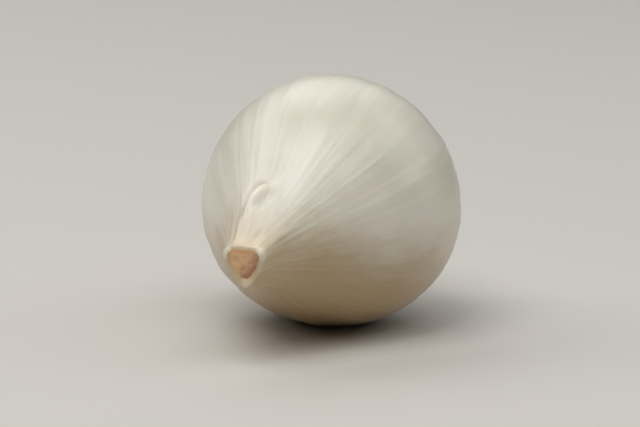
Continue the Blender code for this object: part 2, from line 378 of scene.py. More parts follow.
def grow(radius, angle, height, relief):
    """Points of the outer skin, from their place on the turned outline to where they grew."""
    along = height / LENGTH
    body = smooth_share(*LOBES_RISE, along) * (1.0 - smooth_share(*LOBES_FADE, along))
    lobes = LOBES_IN_THREES * np.cos(3.0 * angle) - np.cos(2.0 * angle)
    corner_turn = 3.0 * (angle - NECK_CORNER - NECK_TWIST * (1.0 - along))
    corners = np.cos(corner_turn) + NECK_CORNER_SHARPNESS * np.cos(2.0 * corner_turn)
    uneven = NECK_UNEVEN * np.cos(NECK_UNEVEN_FOLDS * angle + NECK_UNEVEN_TWIST * along)
    pinch = (corners + uneven) * smooth_share(*NECK_RISE, along)
    stretch = 1.0 + LOBE_SHARE * lobes * body + NECK_PINCH * pinch
    grown = round_line(radius * stretch + relief, angle, height)
    grown[:, 1] += NECK_LEAN * smooth_share(LEAN_START, 1.0, along) ** LEAN_BEND
    return grown


def globe_on_rings(name, rings, around):
    """A globe to be shaped, with each point's angle and the number of its ring, counted from the top."""
    bpy.ops.object.select_all(action="DESELECT")
    bpy.ops.mesh.primitive_uv_sphere_add(segments=around, ring_count=len(rings) - 1, radius=1.0)
    globe = bpy.context.object
    globe.name = name
    points = points_of(globe.data)
    from_top = np.arccos(np.clip(points[:, 2], -1.0, 1.0)) / math.pi
    ring = np.rint(from_top * (len(rings) - 1)).astype(int)
    return globe, np.arctan2(points[:, 1], points[:, 0]), ring


def add_node(tree, kind, inputs=None, **settings):
    made = tree.nodes.new(kind)
    for key, value in settings.items():
        setattr(made, key, value)
    for key, value in (inputs or {}).items():
        if isinstance(value, bpy.types.NodeSocket):
            tree.links.new(value, made.inputs[key])
        else:
            made.inputs[key].default_value = value
    return made


def blend(tree, share, first, second):
    """The first colour where share is 0 and the second where it is 1."""
    mixed = add_node(tree, "ShaderNodeMix", data_type="RGBA")
    for number, value in ((0, share), (6, first), (7, second)):
        if isinstance(value, bpy.types.NodeSocket):
            tree.links.new(value, mixed.inputs[number])
        else:
            mixed.inputs[number].default_value = value if number == 0 else (*value, 1.0)
    return mixed.outputs[2]


def band(tree, value, low, high, least=0.0, most=1.0):
    """A smooth change from least to most while the value goes from low to high."""
    made = add_node(
        tree,
        "ShaderNodeMapRange",
        {"Value": value, "From Min": low, "From Max": high, "To Min": least, "To Max": most},
        interpolation_type="SMOOTHSTEP",
    )
    return made.outputs["Result"]


def calculate(tree, what, first, second):
    return add_node(tree, "ShaderNodeMath", {0: first, 1: second}, operation=what).outputs[0]


def shifted(tree, value, noise, strength):
    """The value plus a share of the noise."""
    return calculate(tree, "ADD", value, calculate(tree, "MULTIPLY", noise, strength))


def noise_on(tree, vector, size, detail, roughness=0.5, stretch=(1.0, 1.0, 1.0)):
    """A noise texture on a vector that is first stretched."""
    mapped = add_node(tree, "ShaderNodeMapping", {"Vector": vector, "Scale": stretch})
    made = add_node(
        tree,
        "ShaderNodeTexNoise",
        {"Vector": mapped.outputs[0], "Scale": size, "Detail": detail, "Roughness": roughness},
    )
    return made.outputs["Fac"]


def object_place(tree):
    return add_node(tree, "ShaderNodeTexCoord").outputs["Object"]


def read_mark(tree, name):
    return add_node(tree, "ShaderNodeAttribute", attribute_name=name).outputs["Fac"]


def growth_of(tree):
    """Where a point of the skin grew: a vector round the bulb, and the place from roots to neck."""
    growth = add_node(tree, "ShaderNodeAttribute", attribute_name="growth").outputs["Vector"]
    place = add_node(tree, "ShaderNodeSeparateXYZ", {"Vector": growth}).outputs["Z"]
    return growth, place


# How far red, green and blue light travel inside, and how deep.
LIGHT_SPREAD = (1.0, 0.72, 0.42)
LIGHT_DEPTH = 0.0022
GLOSS_ROUGHNESS = 0.20


def new_material(name, roughness, subsurface=0.0, gloss=0.0):
    material = bpy.data.materials.new(name)
    material.use_nodes = True
    tree = material.node_tree
    shader = tree.nodes["Principled BSDF"]
    shader.inputs["Roughness"].default_value = roughness
    shader.inputs["Subsurface Weight"].default_value = subsurface
    shader.inputs["Subsurface Radius"].default_value = LIGHT_SPREAD
    shader.inputs["Subsurface Scale"].default_value = LIGHT_DEPTH
    shader.inputs["Coat Weight"].default_value = gloss
    shader.inputs["Coat Roughness"].default_value = GLOSS_ROUGHNESS
    return material, tree, shader


SKIN_GLOSS = 0.34

# Noise of the skin, as (vector, size, detail, roughness, stretch). The object vector is in metres. The
# growth vector goes once round the bulb, and from 0 at the roots to 1 at the neck.
EVEN = (1.0, 1.0, 1.0)
SKIN_NOISES = {
    "clouds": ("object", 95.0, 2.0, 0.5, EVEN),
    "patches": ("growth", 1.0, 4.0, 0.6, (7.0, 7.0, 9.0)),
    "streaks": ("growth", 1.0, 3.0, 0.6, (26.0, 26.0, 2.2)),
    "fine": ("growth", 1.0, 2.0, 0.5, (75.0, 75.0, 3.8)),
    "scuffs": ("object", 520.0, 4.0, 0.7, EVEN),
    "fibres": ("object", 900.0, 5.0, 0.68, EVEN),
    "pits": ("object", 1900.0, 3.0, 0.6, EVEN),
    "lines": ("growth", 1.0, 3.0, 0.55, (60.0, 60.0, 5.0)),
    "paper": ("object", 900.0, 4.0, 0.6, EVEN),
}
CLOUD_BAND = (0.40, 0.68)

# Tan towards the underside, partly the skin's own tan and partly painted shade: none above the first height
# and most below the second. It is weaker at the roots' half and reaches higher near the neck, between the
# two places.
UNDERSIDE_TAN_AND_SHADE = (0.51, 0.355, 0.180)
UNDERSIDE_SHADE_HEIGHTS = (0.0163, 0.0080)
UNDERSIDE_SHADE_MOST = 0.94
UNDERSIDE_SHADE_RAGGED = 0.006
UNDERSIDE_SHADE_ROOTS_SIDE = (0.30, 0.62)
UNDERSIDE_SHADE_ROOTS_SHARE = 0.50
UNDERSIDE_SHADE_NECK_SIDE = (0.62, 0.82)
UNDERSIDE_SHADE_NECK_RISE = 0.0034

# Stains, one over the other, as (what shows it, value where it starts, value where it is full, most, colour).
ROOTS_RAGGED = -0.08
TIP_RAGGED = 0.06
STAINS = [
    ("streaks", 0.50, 0.74, 0.22, (0.62, 0.54, 0.37)),
    ("fine", 0.52, 0.74, 0.20, (0.88, 0.85, 0.76)),
    ("scuffs", 0.66, 0.76, 0.22, (0.52, 0.38, 0.21)),
    ("near_root", 0.070, -0.030, 0.85, (0.70, 0.55, 0.34)),
    ("near_root", 0.005, -0.050, 0.80, (0.46, 0.29, 0.13)),
    ("near_tip", 0.88, 1.06, 0.45, (0.72, 0.58, 0.38)),
]
# The same band also paints shade in the crease and furrow by the fold.
TORN_AND_SHADE_LEAST = 0.15  # how much of a stained edge shows where the patches leave it clean
TORN_AND_SHADE_BAND = (0.15, 0.90)
# White of the rim's thick places, also painted on the fold's ridge as a painted highlight.
RIM_AND_HIGHLIGHT_WHITE = (0.87, 0.82, 0.705)
WHITENED_BAND = (0.15, 0.85)
MARK_MOST = 0.80  # how much stained edges and thick places cover at most

# The cut face, light at its upper left and dark at its lower right: the slope is Y plus the height.
FACE_MIDDLE = 0.0124
FACE_FIBRES = 0.0024
FACE_BLEND = 0.0013
FACE_DARK = (0.44, 0.190, 0.092)
FACE_LIGHT = (0.88, 0.60, 0.335)
PIT_BAND = (0.50, 0.74)
PIT_MOST = 0.30
PIT_DARK = (0.24, 0.085, 0.040)
FACE_PLACES = (1.042, 1.050)

# Bumps too fine for the mesh: depth, and (place, place, strength at the first, strength at the second).
LINE_DEPTH = 0.00010
LINE_STRENGTH = (0.60, 0.88, 0.16, 0.10)
PAPER_DEPTH = 0.00008
PAPER_STRENGTH = (1.035, 1.050, 0.12, 0.60)


def skin_colour(tree, where, place, noises, pale, cloudy, edge):
    """Two pale colours in clouds, tan and painted shade underneath, stains, torn edges and thick places."""
    height = add_node(tree, "ShaderNodeSeparateXYZ", {"Vector": where}).outputs["Z"]
    patches = noises["patches"]
    colour = blend(tree, band(tree, noises["clouds"], *CLOUD_BAND), pale, cloudy)
    # Darker tan towards the underside, partly the skin's own tan and partly painted shade.
    low = shifted(tree, height, patches, UNDERSIDE_SHADE_RAGGED)
    low = calculate(tree, "SUBTRACT", low, band(tree, place, *UNDERSIDE_SHADE_NECK_SIDE, 0.0, UNDERSIDE_SHADE_NECK_RISE))
    neckwards = band(tree, place, *UNDERSIDE_SHADE_ROOTS_SIDE, UNDERSIDE_SHADE_ROOTS_SHARE, 1.0)
    tan_and_painted_shade = calculate(tree, "MULTIPLY", band(tree, low, *UNDERSIDE_SHADE_HEIGHTS, 0.0, UNDERSIDE_SHADE_MOST), neckwards)
    colour = blend(tree, tan_and_painted_shade, colour, UNDERSIDE_TAN_AND_SHADE)
    shown = dict(noises)
    shown["near_root"] = shifted(tree, place, patches, ROOTS_RAGGED)
    shown["near_tip"] = shifted(tree, place, patches, TIP_RAGGED)
    for kind, start, full, most, tint in STAINS:
        colour = blend(tree, band(tree, shown[kind], start, full, 0.0, most), colour, tint)
    # Torn edges, and the crease and furrow by the fold, partly stained and partly painted shade.
    torn_and_shaded = calculate(tree, "MULTIPLY", read_mark(tree, "stain_and_shade"), calculate(tree, "ADD", patches, TORN_AND_SHADE_LEAST))
    colour = blend(tree, band(tree, torn_and_shaded, *TORN_AND_SHADE_BAND, 0.0, MARK_MOST), colour, edge)
    # The rim's thick places, and the fold's ridge painted whiter as a painted highlight.
    whitened = band(tree, read_mark(tree, "whitened"), *WHITENED_BAND, 0.0, MARK_MOST)
    return blend(tree, whitened, colour, RIM_AND_HIGHLIGHT_WHITE)


def face_colour(tree, where, noises):
    """The dry, fibrous and pitted cut face of the neck."""
    apart = add_node(tree, "ShaderNodeSeparateXYZ", {"Vector": where})
    slope = calculate(tree, "ADD", apart.outputs["Y"], apart.outputs["Z"])
    slope = shifted(tree, calculate(tree, "ADD", slope, -FACE_MIDDLE), noises["fibres"], FACE_FIBRES)
    face = blend(tree, band(tree, slope, -FACE_BLEND, FACE_BLEND), FACE_DARK, FACE_LIGHT)
    return blend(tree, band(tree, noises["pits"], *PIT_BAND, 0.0, PIT_MOST), face, PIT_DARK)


def white_skin(name, subsurface, roughness, pale, cloudy, edge):
    """Satin papery skin from two pale colours and the colour of its torn edges, which also paints shade in
    its creases, with the cut face past the neck's lip."""
    material, tree, shader = new_material(name, roughness, subsurface, SKIN_GLOSS)
    growth, place = growth_of(tree)
    where = object_place(tree)
    vectors = {"object": where, "growth": growth}
    noises = {}
    for kind, (vector, size, detail, rough, stretch) in SKIN_NOISES.items():
        noises[kind] = noise_on(tree, vectors[vector], size, detail, rough, stretch)
    skin = skin_colour(tree, where, place, noises, pale, cloudy, edge)
    colour = blend(tree, band(tree, place, *FACE_PLACES), skin, face_colour(tree, where, noises))
    tree.links.new(colour, shader.inputs["Base Color"])
    bump = {
        "Strength": band(tree, place, *LINE_STRENGTH),
        "Distance": LINE_DEPTH,
        "Height": noises["lines"],
    }
    lines = add_node(tree, "ShaderNodeBump", bump)
    bump = {
        "Strength": band(tree, place, *PAPER_STRENGTH),
        "Distance": PAPER_DEPTH,
        "Height": noises["paper"],
        "Normal": lines.outputs[0],
    }
    paper = add_node(tree, "ShaderNodeBump", bump)
    tree.links.new(paper.outputs[0], shader.inputs["Normal"])
    return material


def bulb_rings():
    """Radius, height and place of each ring, from the middle of the cut neck to the middle of the hollow."""
    share, depth = smooth_line(CUT_END, CUT_STEPS).T
    cut_place = CUT_PLACE + CUT_PLACE_RISE * (1.0 - share)
    cut = np.column_stack((share * NECK_END / 2, LENGTH - depth * NECK_END, cut_place))
    skin = smooth_line(OUTLINE, SKIN_STEPS)
    skin = np.column_stack((skin[:, 1] * GIRTH / 2, skin[:, 0] * LENGTH))
    steps = np.hypot(*np.diff(skin, axis=0).T)
    skin = np.column_stack((skin, 1.0 - np.concatenate(([0.0], np.cumsum(steps))) / steps.sum()))
    hollow = [
        (HOLLOW_RADIUS, HOLLOW_ROUNDING * HOLLOW_LIP),
        (HOLLOW_RADIUS, HOLLOW_DEPTH - HOLLOW_ROUNDING),
        (HOLLOW_RADIUS - HOLLOW_ROUNDING, HOLLOW_DEPTH),
        (HOLLOW_RADIUS / 2, HOLLOW_DEPTH),
        (0.0, HOLLOW_DEPTH),
    ]
    hollow = np.column_stack((hollow, HOLLOW_PLACES))
    return np.vstack((cut, skin, hollow)), len(cut), len(cut) + len(skin)


def rim_rise(angle):
    """How far the pale rim of the cut neck stands up, most at its two upper corners."""
    rise = lumps(round_line(1.0, angle, 0.0), RIM_UNEVEN)
    for turn, height, width in RIM_POINTS:
        rise = rise + height * hump(turn_from(angle, NECK_CORNER + turn), 0.0, width)
    return rise


def make_bulb():
    rings, first_skin, first_hollow = bulb_rings()
    bulb, angle, ring = globe_on_rings("bulb_skin", rings, AROUND)
    in_cut = ring < first_skin
    in_hollow = ring >= first_hollow
    radius, height, place = rings[ring].T
    along = height / LENGTH
    turned = round_line(radius, angle, height)
    relief = np.where(in_cut | in_hollow, 0.0, skin_relief(angle, along) + fine_relief(angle, along, turned))
    grown = grow(radius, angle, height, relief * smooth_share(*RELIEF_RISE, place))
    grown[in_hollow] = turned[in_hollow]
    rise = rim_rise(angle)
    rim_wall = smooth_share(*RIM_WALL, radius / (NECK_END / 2))
    rim = np.where(in_cut, rim_wall, smooth_share(*RIM_FADE, place))
    in_face = np.where(in_cut, 1.0 - rim_wall, 0.0)
    ragged = 1.0 + rim * lumps(turned, RIM_RAGGED) / (NECK_END / 2)
    grown[:, :2] *= ragged[:, None]
    grown[:, 0] += CUT_SHIFT * in_face
    grown[:, 2] += rim * rise + lumps(turned, CUT_FIBRES) * in_face
    set_points(bulb.data, lay_down(grown))
    pale = np.clip(rise / RIM_PALE_RISE, 0.0, 1.0)
    # Tan at the rim's low places, and in the crease and furrow by the fold, partly a stain and partly painted
    # shade.
    stain_and_shade = np.maximum(creases(angle, along), RIM_STAIN * rim * (1.0 - pale))
    whitened = rim * (RIM_THICK + lumps(turned, RIM_PATCHES)) * (RIM_PALE + (1.0 - RIM_PALE) * pale)
    mark_points(bulb.data, "growth", round_line(1.0, angle, place))
    mark_points(bulb.data, "stain_and_shade", stain_and_shade)
    # The fold's ridge is painted whiter: a painted highlight.
    mark_points(bulb.data, "whitened", np.maximum(fold_ridge(angle, along), whitened))
    bulb.data.shade_smooth()
    return bulb


BULB_SUBSURFACE = 0.42
BULB_ROUGHNESS = 0.36
BULB_PALE = (0.79, 0.755, 0.660)
BULB_CLOUDY = (0.70, 0.685, 0.575)
BULB_EDGE_AND_SHADE = (0.56, 0.40, 0.22)

bulb = make_bulb()
bulb.data.materials.append(
    white_skin("white onion skin", BULB_SUBSURFACE, BULB_ROUGHNESS, BULB_PALE, BULB_CLOUDY, BULB_EDGE_AND_SHADE)
)
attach(bulb, "root")
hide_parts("bulb")


# The dry outer skin that still clings to the bulb behind: one thin sheet, straw-coloured where it has aged
# most, torn off along its front and underneath. Its edges have dried tan and thin out into the skin below.
SHEET_GAP = 0.00001
SHEET_THICKNESS = 0.00007
SHEET_SUBSURFACE = 0.05
EDGE_BAND = 0.00050  # width of the tan edge
EDGE_SUNK = 0.00009  # how far the edge dips into the skin below
EDGE_TAPER = 0.00030
SEAM_GAP = 0.000001

BACK_GRID = 170
BACK_ANGLES = (1.22, 2.72)  # of its torn front, and of its torn edge underneath
BACK_PLACES = (0.030, 0.400)
# Ragged edges, as (length of a wave, height, seed).
BACK_FRONT_RAGGED = [(0.20, 0.10, 31), (0.06, 0.035, 30)]
BACK_UNDER_RAGGED = [(0.10, 0.08, 32), (0.03, 0.05, 33)]
BACK_ROOTS_RAGGED = [(0.10, 0.012, 34)]
BACK_GIRTH_RAGGED = [(0.12, 0.025, 36), (0.04, 0.010, 37)]
BACK_ROUGHNESS = 0.42
BACK_PALE = (0.80, 0.74, 0.60)
BACK_CLOUDY = (0.72, 0.63, 0.45)
BACK_EDGE = (0.60, 0.44, 0.25)


def skin_points(angle, place, lift):
    """Points that stand lift above the outer skin, at an angle and at a place between roots and neck."""
    radius = np.interp(place, PLACES, RADII)
    height = np.interp(place, PLACES, HEIGHTS)
    out = np.interp(place, PLACES, NORMALS_OUT)
    up = np.interp(place, PLACES, NORMALS_UP)
    along = height / LENGTH
    relief = skin_relief(angle, along) + fine_relief(angle, along, round_line(radius, angle, height))
    return grow(radius, angle, height, relief) + round_line(lift * out, angle, lift * up)


def close_seam():
    """Merges the two sides of the active sheet where they meet."""
    bpy.ops.object.mode_set(mode="EDIT")
    bpy.ops.mesh.select_all(action="SELECT")
    bpy.ops.mesh.remove_doubles(threshold=SEAM_GAP)
    bpy.ops.object.mode_set(mode="OBJECT")


def skin_sheet(name, columns, rows, outline, all_round=False):
    """A thin sheet that lies on the bulb and thins out into it towards its torn edges. The outline gives the
    angle and place for shares across and up. A sheet that goes all round has a seam for its sides, and is
    torn only at its top."""
    bpy.ops.object.select_all(action="DESELECT")
    bpy.ops.mesh.primitive_grid_add(x_subdivisions=columns, y_subdivisions=rows, size=1.0)
    sheet = bpy.context.object
    sheet.name = name
    across, up = (points_of(sheet.data)[:, :2] + 0.5).T
    zeros, ones = np.zeros(len(up)), np.ones(len(up))
    angle, place = outline(across, up)
    to_edge = (outline(across, ones)[1] - place) * SKIN_LENGTH
    if not all_round:
        first, last = outline(zeros, up)[0], outline(ones, up)[0]
        to_side = np.minimum(angle - first, last - angle) * np.interp(place, PLACES, RADII)
        to_bottom = (place - outline(across, zeros)[1]) * SKIN_LENGTH
        to_edge = np.minimum(np.minimum(to_edge, to_bottom), to_side)
    lift = SHEET_GAP - EDGE_SUNK * np.exp(-to_edge / EDGE_TAPER)
    set_points(sheet.data, lay_down(skin_points(angle, place, lift)))
    along = np.interp(place, PLACES, HEIGHTS) / LENGTH
    mark_points(sheet.data, "growth", round_line(1.0, angle, place))
    mark_points(sheet.data, "stain_and_shade", np.maximum(np.exp(-to_edge / EDGE_BAND), creases(angle, along)))
    if all_round:
        close_seam()
    wall = sheet.modifiers.new("thickness", "SOLIDIFY")
    wall.thickness = SHEET_THICKNESS
    wall.offset = 1.0
    bpy.ops.object.modifier_apply(modifier=wall.name)
    sheet.data.shade_smooth()
    return sheet


def back_outline(across, up):
    """From the left flank down to where the bulb rests, from the roots up to the girth."""
    first = BACK_ANGLES[0] + ripples(up, BACK_FRONT_RAGGED)
    last = BACK_ANGLES[1] + ripples(up, BACK_UNDER_RAGGED)
    bottom = BACK_PLACES[0] + ripples(across, BACK_ROOTS_RAGGED)
    top = BACK_PLACES[1] + ripples(across, BACK_GIRTH_RAGGED)
    return first + (last - first) * across, bottom + (top - bottom) * up


back_skin = skin_sheet("back_skin", BACK_GRID, BACK_GRID, back_outline)
back_skin.data.materials.append(
    white_skin("loose papery skin", SHEET_SUBSURFACE, BACK_ROUGHNESS, BACK_PALE, BACK_CLOUDY, BACK_EDGE)
)
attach(back_skin, "root")


# The root plate, the bulb's own short stem: a disc of dry cork that fills the hollow and spreads a little
# over the skin round it. It is dark and rough with the feet of old roots.
PLATE_BRIM = 0.0094  # its width outside the bulb
PLATE_RISE = 0.0012  # how far it bulges out
PLATE_AROUND = 144
PLATE_STEPS = 8
PLATE_LUMP = 0.00014
PLATE_EDGE = 0.00010
PLATE_EDGE_WIDTH = 0.98
PLATE_EDGE_ROUND = 0.4
# Its outer face, as (share of half the brim, share of the rise).
PLATE_FACE = [(0.98, 0.22), (0.90, 0.60), (0.74, 0.90), (0.50, 1.00), (0.25, 0.94), (0.00, 0.85)]

# Its lumps: folds round it, and their twist and rings from the middle outwards in radians a metre. The grain
# on them is (length of a lump, height as a share of PLATE_LUMP, seed).
LUMP_FOLDS = 5.0
LUMP_TWIST = 900.0
LUMP_RINGS = 1700.0
LUMP_RINGS_START = 1.0
LUMP_RISE = (0.3, 0.7)  # shares of the rise between which the lumps grow
PLATE_GRAIN = [(0.0007, 1.6, 4), (0.00035, 0.9, 8)]
PLATE_RAGGED = [(0.0020, 0.045, 1)]
PLATE_RAGGED_FROM = 0.6

CORK_ROUGHNESS = 0.85
CORK_LUMPS = (900.0, 5.0, 0.65)  # size, detail and roughness of a noise
CORK_LUMP_SHARE = 0.5
CORK_MIDDLE = (0.055, 0.022, 0.009)
CORK_RIM = (0.33, 0.185, 0.07)
CORK_BAND = (0.75, 1.25)
CORK_SPECKS = (2600.0, 3.0, 0.6)
CORK_SPECK = (0.50, 0.33, 0.15)
CORK_SPECK_BAND = (0.55, 0.70)
CORK_SPECK_MOST = 0.5
CORK_BUMP = {"Strength": 0.6, "Distance": 0.0002}


def cork():
    """Dry cork: dark in the middle and golden towards the rim."""
    material, tree, shader = new_material("root plate cork", CORK_ROUGHNESS)
    where = object_place(tree)
    bumps = noise_on(tree, where, *CORK_LUMPS)
    from_middle = shifted(tree, growth_of(tree)[1], bumps, CORK_LUMP_SHARE)
    colour = blend(tree, band(tree, from_middle, *CORK_BAND), CORK_MIDDLE, CORK_RIM)
    specks = band(tree, noise_on(tree, where, *CORK_SPECKS), *CORK_SPECK_BAND, 0.0, CORK_SPECK_MOST)
    tree.links.new(blend(tree, specks, colour, CORK_SPECK), shader.inputs["Base Color"])
    relief = add_node(tree, "ShaderNodeBump", {**CORK_BUMP, "Height": bumps})
    tree.links.new(relief.outputs[0], shader.inputs["Normal"])
    return material


def plate_rings():
    """Radius and height of each ring, from the middle of its inner face to the middle of its outer face."""
    half = PLATE_WIDTH / 2
    brim = PLATE_BRIM / 2
    inner = HOLLOW_DEPTH - CLEARANCE
    back = [
        (0.0, inner),
        (half / 2, inner),
        (half - HOLLOW_ROUNDING, inner),
        (half, inner - HOLLOW_ROUNDING),
    ]
    edge = [
        (half, CLEARANCE),
        (brim * PLATE_EDGE_WIDTH, PLATE_EDGE),
        (brim, PLATE_EDGE * PLATE_EDGE_ROUND),
    ]
    face = [(brim * share, -PLATE_RISE * rise) for share, rise in PLATE_FACE]
    return np.vstack((back, smooth_line(edge + face, PLATE_STEPS)))


def make_plate():
    rings = plate_rings()
    plate, angle, ring = globe_on_rings("root_plate_cork", rings, PLATE_AROUND)
    radius, height = rings[ring].T
    outwards = radius / (PLATE_BRIM / 2)
    turned = round_line(radius, angle, height)
    lump = np.sin(LUMP_FOLDS * angle + LUMP_TWIST * radius) * np.sin(LUMP_RINGS * radius + LUMP_RINGS_START)
    outer = smooth_share(*LUMP_RISE, -height / PLATE_RISE)
    turned[:, 2] -= PLATE_LUMP * (lump + lumps(turned, PLATE_GRAIN)) * outer
    ragged = 1.0 + lumps(turned, PLATE_RAGGED) * smooth_share(PLATE_RAGGED_FROM, 1.0, outwards)
    turned[:, :2] *= ragged[:, None]
    set_points(plate.data, lay_down(turned))
    mark_points(plate.data, "growth", round_line(1.0, angle, outwards))
    plate.data.shade_smooth()
    return plate


plate = make_plate()
plate.data.materials.append(cork())
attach(plate, "root")
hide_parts("root_plate")


# The trimmed roots, short dry stubs that splay out from the plate, golden outside and dark in the middle. One
# is modelled, and each copy gets its own length, bend and girth, with fine hairs of dead root between them.
ROOT_COUNT = 52
ROOT_RADIUS = 0.00050
ROOT_SUNK = 0.0007  # length of each root inside the plate
ROOT_SHORTEST = 0.0004
ROOT_LONGEST = 0.0009
ROOT_RIM_EXTRA = 0.0009  # how much longer the roots are at the rim
ROOT_FIRST = 0.08  # how far from the middle the first root stands, as a share of half the brim
ROOT_REACH = 0.62  # how much further out the last one stands
ROOT_SPLAY = math.radians(70.0)
ROOT_SPLAY_GROWTH = 1.3
ROOT_JITTER = 0.12
ROOT_FOOT = (0.92, 0.16)  # depth of the feet in the middle, and how much less at the rim
ROOT_GIRTHS = (0.98, 0.14, 2.3)  # middle, swing and step from one root to the next
ROOT_TONES = (-0.15, 0.95, 1.6, 0.20, 1.9)  # middle, rise to the rim, its bend, swing and step
ROOT_SEED = 11
ROOT_SIDES = 12
ROOT_RINGS = 9
GOLDEN_ANGLE = math.pi * (3.0 - math.sqrt(5.0))

# Hairs of dead root. The ranges are for random draws.
HAIR_COUNT = 130
HAIR_TURN = 1.1
HAIR_FIRST = 0.10
HAIR_REACH = 0.86
HAIR_SPLAY = 1.1
HAIR_SPLAY_RANGE = (-0.3, 0.3)
HAIR_LENGTHS = (0.0003, 0.0013)
HAIR_FOOT = (0.92, 0.30)
HAIR_GIRTHS = (0.20, 0.42)
HAIR_TONES = (-0.1, 0.6)
HAIR_SEED = 500  # added to the number of each hair

# The model root's dished end: two insets, and how far each is pressed in.
DISH_STEPS = [(0.30, -0.02), (0.35, -0.06)]
END_FACE = 0.5  # a face that points up more than this is the cut end
UPRIGHT_EDGE = 0.9  # and an edge that rises more than this is a side

# The shape of each copy, as shares of its length or girth.
ROOT_TAPER = 0.30
ROOT_SWELL = (0.12, 7.0)  # height and turn from foot to end
ROOT_LUMPS = (0.16, 3.0, 5.0)  # height, corners, and turn from foot to end
ROOT_BEND_OUT = (-0.35, 0.55)
ROOT_BEND_SIDE = (-0.35, 0.35)
ROOT_SLANT = (-0.5, 0.5)
DISH_FROM = 0.85
DISH_EDGE = (0.30, 0.75)
DISH_DARK = 0.60
END_PALE = 0.25

DRY_ROUGHNESS = 0.72
DRY_SUBSURFACE = 0.10
DRY_SPOTS = (1300.0, 4.0, 0.65)
DRY_SPOT_SHARE = 0.55
DRY_DARK = (0.075, 0.030, 0.013)
DRY_GOLD = (0.46, 0.26, 0.095)
DRY_PALE = (0.76, 0.60, 0.38)
DRY_GOLD_BAND = (0.20, 0.55)
DRY_PALE_BAND = (0.60, 1.15)
DRY_BUMP = {"Strength": 0.5, "Distance": 0.00012}


def dry_root():
    """Dry root from dark brown to pale straw, by the tone stored at its points."""
    material, tree, shader = new_material("dry roots", DRY_ROUGHNESS, DRY_SUBSURFACE)
    spots = noise_on(tree, object_place(tree), *DRY_SPOTS)
    tone = shifted(tree, read_mark(tree, "tone"), spots, DRY_SPOT_SHARE)
    colour = blend(tree, band(tree, tone, *DRY_GOLD_BAND), DRY_DARK, DRY_GOLD)
    colour = blend(tree, band(tree, tone, *DRY_PALE_BAND), colour, DRY_PALE)
    tree.links.new(colour, shader.inputs["Base Color"])
    relief = add_node(tree, "ShaderNodeBump", {**DRY_BUMP, "Height": spots})
    tree.links.new(relief.outputs[0], shader.inputs["Normal"])
    return material


def edge_rise(mesh, edge):
    first, second = edge.vertices
    return mesh.vertices[second].co.z - mesh.vertices[first].co.z


def model_root():
    """One straight root on Z from 0 to 1, one wide, with a dished cut end."""
    bpy.ops.object.select_all(action="DESELECT")
    bpy.ops.mesh.primitive_cylinder_add(vertices=ROOT_SIDES, radius=1.0, depth=1.0, location=(0.0, 0.0, 0.5))
    bpy.ops.object.transform_apply(location=True, rotation=False, scale=False)
    root = bpy.context.object
    bpy.ops.object.mode_set(mode="EDIT")
    bpy.ops.mesh.select_mode(type="FACE")
    bpy.ops.mesh.select_all(action="DESELECT")
    bpy.ops.object.mode_set(mode="OBJECT")
    for face in root.data.polygons:
        face.select = face.normal.z > END_FACE
    bpy.ops.object.mode_set(mode="EDIT")
    for inset, pressed_in in DISH_STEPS:
        bpy.ops.mesh.inset(thickness=inset)
        bpy.ops.transform.translate(value=(0.0, 0.0, pressed_in))
    bpy.ops.mesh.select_mode(type="EDGE")
    bpy.ops.mesh.select_all(action="DESELECT")
    bpy.ops.object.mode_set(mode="OBJECT")
    for edge in root.data.edges:
        edge.select = abs(edge_rise(root.data, edge)) > UPRIGHT_EDGE
    bpy.ops.object.mode_set(mode="EDIT")
    bpy.ops.mesh.subdivide(number_cuts=ROOT_RINGS)
    bpy.ops.object.mode_set(mode="OBJECT")
    return root


def copy_root(model, number, shape, place):
    """A copy of the model root, sunk in the plate and leaning outwards, with its own bends."""
    angle, foot_radius, foot_height, splay, length, girth, tone = shape
    straight = points_of(model.data)
    share = straight[:, 2]
    from_middle = np.hypot(straight[:, 0], straight[:, 1])
    swell, swell_turn = ROOT_SWELL
    lump, corners, twist = ROOT_LUMPS
    wide = 1.0 - ROOT_TAPER * share + swell * np.sin(swell_turn * share + number)
    turn = np.arctan2(straight[:, 1], straight[:, 0])
    wide = girth * wide * (1.0 + lump * np.sin(corners * turn + twist * share + number))
    x = straight[:, 0] * wide + place.uniform(*ROOT_BEND_OUT) * length * share**2
    y = straight[:, 1] * wide + place.uniform(*ROOT_BEND_SIDE) * length * share**2
    slant = place.uniform(*ROOT_SLANT) * girth * straight[:, 0] * share**4
    along = ROOT_SUNK - share * length - slant
    out = foot_radius + x * math.cos(splay) - along * math.sin(splay)
    down = foot_height + x * math.sin(splay) + along * math.cos(splay)
    points = round_line(out, angle, down) + round_line(y, angle + math.pi / 2, 0.0)
    mesh = model.data.copy()
    set_points(mesh, lay_down(points))
    mesh.flip_normals()
    dish = (share > DISH_FROM) * (1.0 - smooth_share(*DISH_EDGE, from_middle))
    mark_points(mesh, "tone", tone + END_PALE * share - DISH_DARK * dish)
    root = bpy.data.objects.new("root_copy", mesh)
    bpy.context.scene.collection.objects.link(root)
    return root


